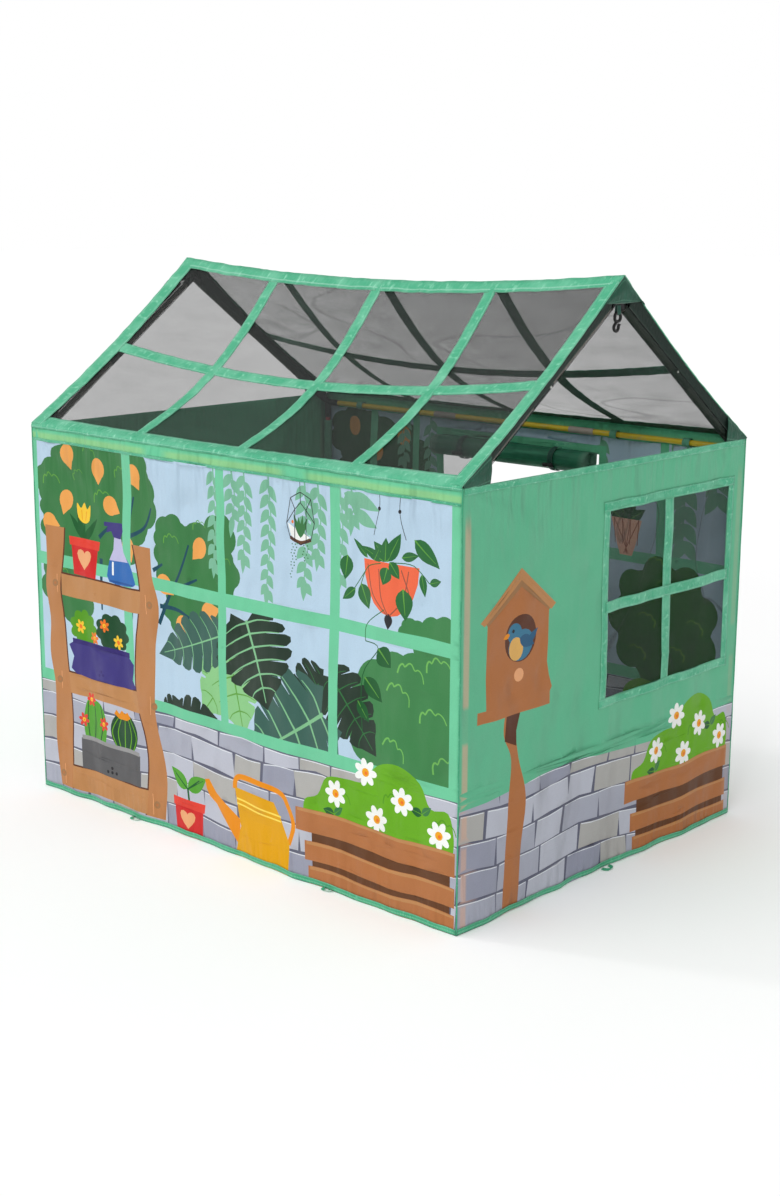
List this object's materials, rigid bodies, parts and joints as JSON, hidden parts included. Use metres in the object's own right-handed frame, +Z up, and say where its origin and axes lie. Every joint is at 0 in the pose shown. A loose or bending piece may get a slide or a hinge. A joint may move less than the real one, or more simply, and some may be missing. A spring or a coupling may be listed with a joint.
{
  "type": "play tent",
  "caption": "House-shaped play tent on a push-together pole frame, with printed fabric walls, a slack mesh roof, a mesh window and a roll-up door.",
  "frame": {"origin": "on the floor under the middle of the tent", "axes": "+X along the ridge to the end with the window, +Y to the back wall with the door, +Z up"},
  "size_m": [1.1, 0.814, 1.046],
  "materials": {
    "red_pole": "gloss paint",
    "yellow_pole": "gloss paint",
    "grey_pole": "satin paint",
    "ferrule": "drawn steel, dull",
    "button_steel": "bright plated steel",
    "black_plastic": "moulded, fine grain",
    "cover_fabric": "printed polyester taffeta with a satin green trim",
    "dark_fabric": "plain polyester, dark green",
    "roof_mesh": "fine black netting with green tapes",
    "window_mesh": "fine black netting"
  },
  "bodies": {
    "tent": {"apex_elbow_left": "black_plastic", "apex_elbow_right": "black_plastic", "corner_hub_back_left": "black_plastic", "corner_hub_back_right": "black_plastic", "corner_hub_front_left": "black_plastic", "corner_hub_front_right": "black_plastic", "eave_rail_back_left": "yellow_pole", "eave_rail_back_middle": "yellow_pole", "eave_rail_back_right": "yellow_pole", "eave_rail_front_left": "yellow_pole", "eave_rail_front_middle": "yellow_pole", "eave_rail_front_right": "yellow_pole", "foot_cap_back_left": "black_plastic", "foot_cap_back_right": "black_plastic", "foot_cap_front_left": "black_plastic", "foot_cap_front_right": "black_plastic", "post_back_left_lower": "red_pole", "post_back_left_upper": "red_pole", "post_back_right_lower": "red_pole", "post_back_right_upper": "red_pole", "post_ferrule_back_left": "ferrule", "post_ferrule_back_right": "ferrule", "post_ferrule_front_left": "ferrule", "post_ferrule_front_right": "ferrule", "post_front_left_lower": "red_pole", "post_front_left_upper": "red_pole", "post_front_right_lower": "red_pole", "post_front_right_upper": "red_pole", "rafter_back_left_lower": "grey_pole", "rafter_back_left_upper": "grey_pole", "rafter_back_right_lower": "grey_pole", "rafter_back_right_upper": "grey_pole", "rafter_ferrule_back_left": "ferrule", "rafter_ferrule_back_right": "ferrule", "rafter_ferrule_front_left": "ferrule", "rafter_ferrule_front_right": "ferrule", "rafter_front_left_lower": "grey_pole", "rafter_front_left_upper": "grey_pole", "rafter_front_right_lower": "grey_pole", "rafter_front_right_upper": "grey_pole", "rail_ferrule_back_left": "ferrule", "rail_ferrule_back_right": "ferrule", "rail_ferrule_front_left": "ferrule", "rail_ferrule_front_right": "ferrule", "roof_back": "roof_mesh", "roof_front": "roof_mesh", "wall_back": "cover_fabric", "wall_front": "cover_fabric", "wall_left_end": "cover_fabric", "wall_right_end": "cover_fabric", "window_mesh": "window_mesh"},
    "strap": {"hook_strap": "dark_fabric"},
    "hook": {"hanging_hook": "black_plastic"},
    "door": {"door_roll": "dark_fabric"},
    "toggle_left": {"door_toggle_left": "black_plastic"},
    "toggle_right": {"door_toggle_right": "black_plastic"},
    "button_front_left": {"snap_button_front_left": "button_steel"},
    "button_front_right": {"snap_button_front_right": "button_steel"},
    "button_back_left": {"snap_button_back_left": "button_steel"},
    "button_back_right": {"snap_button_back_right": "button_steel"}
  },
  "joints": [
    {"name": "strap_swing", "type": "hinge", "parent": "tent", "child": "strap", "pos_m": [0.5462, -0.0097, 0.9985], "axis": [0, -1, 0], "range_deg": [-3, 60]},
    {"name": "hook_swing", "type": "hinge", "parent": "strap", "child": "hook", "pos_m": [0.5462, -0.0097, 0.9856], "axis": [0, -1, 0], "range_deg": [-60, 60]},
    {"name": "door_unroll", "type": "slide", "parent": "tent", "child": "door", "axis": [0, 0, 1], "range_m": [-0.62, 0]},
    {"name": "toggle_left_turn", "type": "hinge", "parent": "tent", "child": "toggle_left", "pos_m": [-0.11, 0.3515, 0.648], "axis": [0, 1, 0], "range_deg": [-90, 90]},
    {"name": "toggle_right_turn", "type": "hinge", "parent": "tent", "child": "toggle_right", "pos_m": [0.13, 0.3515, 0.648], "axis": [0, 1, 0], "range_deg": [-90, 90]},
    {"name": "button_front_left_press", "type": "slide", "parent": "tent", "child": "button_front_left", "axis": [1, 0, 0], "range_m": [0, 0.0024], "stiffness_N_per_m": 400, "springref_m": -0.002},
    {"name": "button_front_right_press", "type": "slide", "parent": "tent", "child": "button_front_right", "axis": [-1, 0, 0], "range_m": [0, 0.0024], "stiffness_N_per_m": 400, "springref_m": -0.002},
    {"name": "button_back_left_press", "type": "slide", "parent": "tent", "child": "button_back_left", "axis": [1, 0, 0], "range_m": [0, 0.0024], "stiffness_N_per_m": 400, "springref_m": -0.002},
    {"name": "button_back_right_press", "type": "slide", "parent": "tent", "child": "button_back_right", "axis": [-1, 0, 0], "range_m": [0, 0.0024], "stiffness_N_per_m": 400, "springref_m": -0.002}
  ]
}
